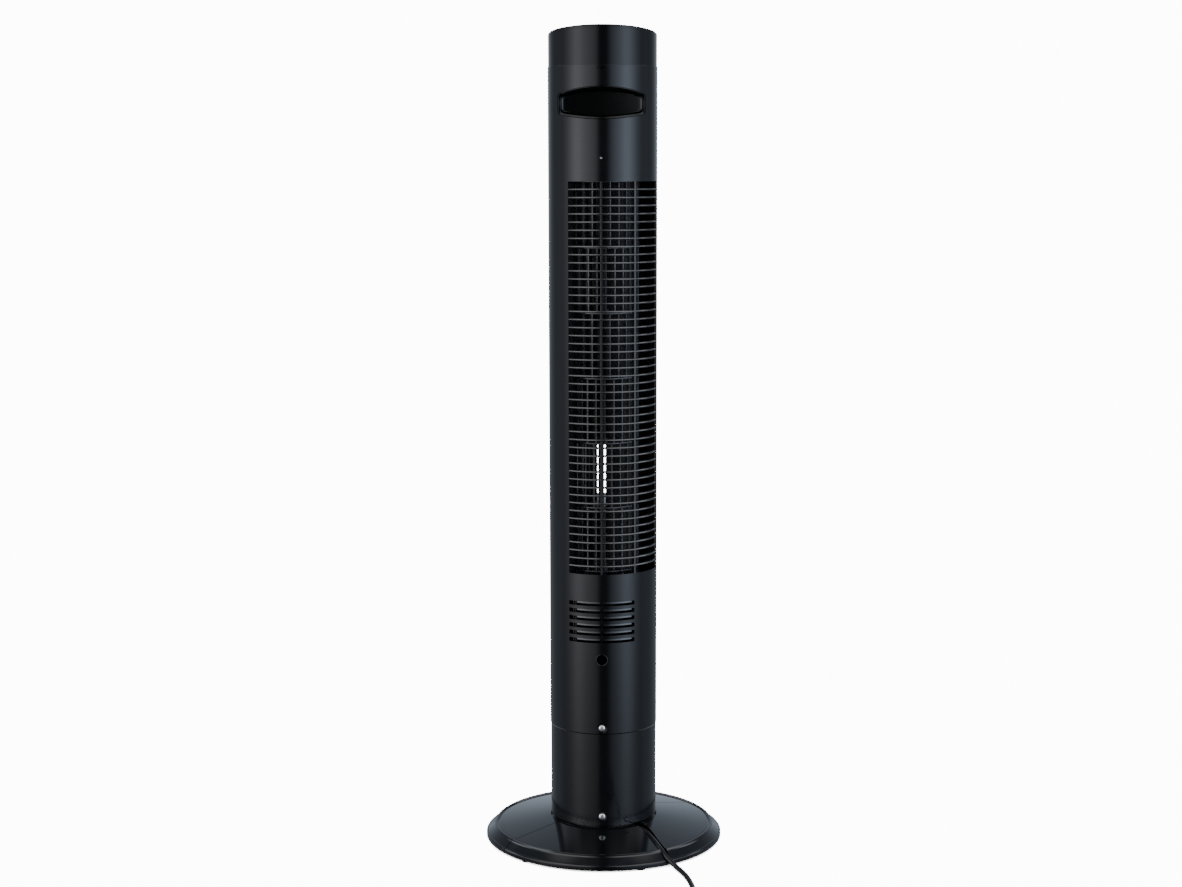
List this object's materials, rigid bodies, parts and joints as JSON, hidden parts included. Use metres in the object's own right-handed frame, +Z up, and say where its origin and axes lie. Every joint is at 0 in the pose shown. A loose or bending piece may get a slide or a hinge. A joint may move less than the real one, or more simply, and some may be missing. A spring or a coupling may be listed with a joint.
{
  "type": "tower fan",
  "caption": "Slim round oscillating tower fan on a broad disc base, with a slatted rear intake, a recessed hand hold, a sloped button panel and a coiled mains cord.",
  "frame": {"origin": "middle of the base on the floor", "axes": "+Z up along the column, -Y towards the air outlet, +Y towards the rear intake and the cord"},
  "size_m": [0.3002, 0.5027, 1.0181],
  "materials": {
    "body_plastic": "satin gloss near-black",
    "base_plastic": "high gloss near-black",
    "inner_plastic": "matte near-black",
    "key_plastic": "satin dark grey",
    "lens": "smoked gloss",
    "gear_plastic": "natural acetal",
    "board": "green laminate",
    "capacitor": "moulded case",
    "steel": "zinc plated",
    "bronze": "plain",
    "foot_rubber": "matte",
    "cord_sheath": "satin"
  },
  "bodies": {
    "base": {"base_rear_half": "base_plastic", "base_front_half": "base_plastic", "base_lock_ring": "inner_plastic", "base_screw_1": "steel", "base_screw_2": "steel", "base_screw_3": "steel", "base_screw_4": "steel", "foot_1": "foot_rubber", "foot_2": "foot_rubber", "foot_3": "foot_rubber", "foot_4": "foot_rubber", "foot_5": "foot_rubber", "foot_6": "foot_rubber", "neck": "body_plastic", "neck_screw": "steel", "oscillation_gear": "gear_plastic", "slide_ring": "gear_plastic", "cord_gland": "cord_sheath", "power_cord": "cord_sheath", "cord_coil": "cord_sheath", "cord_tail": "cord_sheath", "cord_tie": "cord_sheath", "plug": "cord_sheath", "plug_pin_1": "bronze", "plug_pin_2": "bronze"},
    "tower": {"turntable": "inner_plastic", "spindle_retainer": "steel", "swing_motor": "steel", "rear_housing": "body_plastic", "rear_crown": "body_plastic", "body_screw": "steel", "handle_pocket": "body_plastic", "front_housing": "body_plastic", "front_grille": "inner_plastic", "motor_bulkhead": "inner_plastic", "top_bulkhead": "inner_plastic", "top_screw": "steel", "bearing_bush": "bronze", "scroll_wall": "inner_plastic", "tongue_wall": "inner_plastic", "fan_motor": "steel", "motor_screw_1": "steel", "motor_screw_2": "steel", "motor_screw_3": "steel", "motor_capacitor": "capacitor", "top_cap": "body_plastic", "control_panel": "body_plastic", "display_lens": "lens", "control_board": "board"},
    "impeller_rotor": {"impeller": "inner_plastic", "motor_shaft": "steel", "impeller_pin": "steel"},
    "pinion": {"swing_pinion": "gear_plastic"},
    "power_key": {"power_button": "key_plastic"},
    "speed_key": {"speed_button": "key_plastic"},
    "timer_key": {"timer_button": "key_plastic"},
    "mode_key": {"mode_button": "key_plastic"},
    "swing_key": {"swing_button": "key_plastic"}
  },
  "joints": [
    {"name": "tower_swing", "type": "hinge", "parent": "base", "child": "tower", "pos_m": [0, 0, 0.1495], "axis": [0, 0, 1], "range_deg": [-37.5, 37.5]},
    {"name": "pinion_spin", "type": "hinge", "parent": "tower", "child": "pinion", "pos_m": [0, 0.033, 0.1393], "axis": [0, 0, 1], "range_deg": [-105, 105]},
    {"name": "impeller_spin", "type": "hinge", "parent": "tower", "child": "impeller_rotor", "pos_m": [0, 0, 0.351], "axis": [0, 0, 1], "continuous": true},
    {"name": "power_press", "type": "slide", "parent": "tower", "child": "power_key", "axis": [0, 0.1253, -0.9921], "range_m": [0, 0.0012], "stiffness_N_per_m": 400, "springref_m": -0.001},
    {"name": "speed_press", "type": "slide", "parent": "tower", "child": "speed_key", "axis": [0, 0.1253, -0.9921], "range_m": [0, 0.0012], "stiffness_N_per_m": 400, "springref_m": -0.001},
    {"name": "timer_press", "type": "slide", "parent": "tower", "child": "timer_key", "axis": [0, 0.1253, -0.9921], "range_m": [0, 0.0012], "stiffness_N_per_m": 400, "springref_m": -0.001},
    {"name": "mode_press", "type": "slide", "parent": "tower", "child": "mode_key", "axis": [0, 0.1253, -0.9921], "range_m": [0, 0.0012], "stiffness_N_per_m": 400, "springref_m": -0.001},
    {"name": "swing_press", "type": "slide", "parent": "tower", "child": "swing_key", "axis": [0, 0.1253, -0.9921], "range_m": [0, 0.0012], "stiffness_N_per_m": 400, "springref_m": -0.001}
  ],
  "couplings": [
    {"joint": "pinion_spin", "follows": "tower_swing", "ratio": 2.6667}
  ]
}
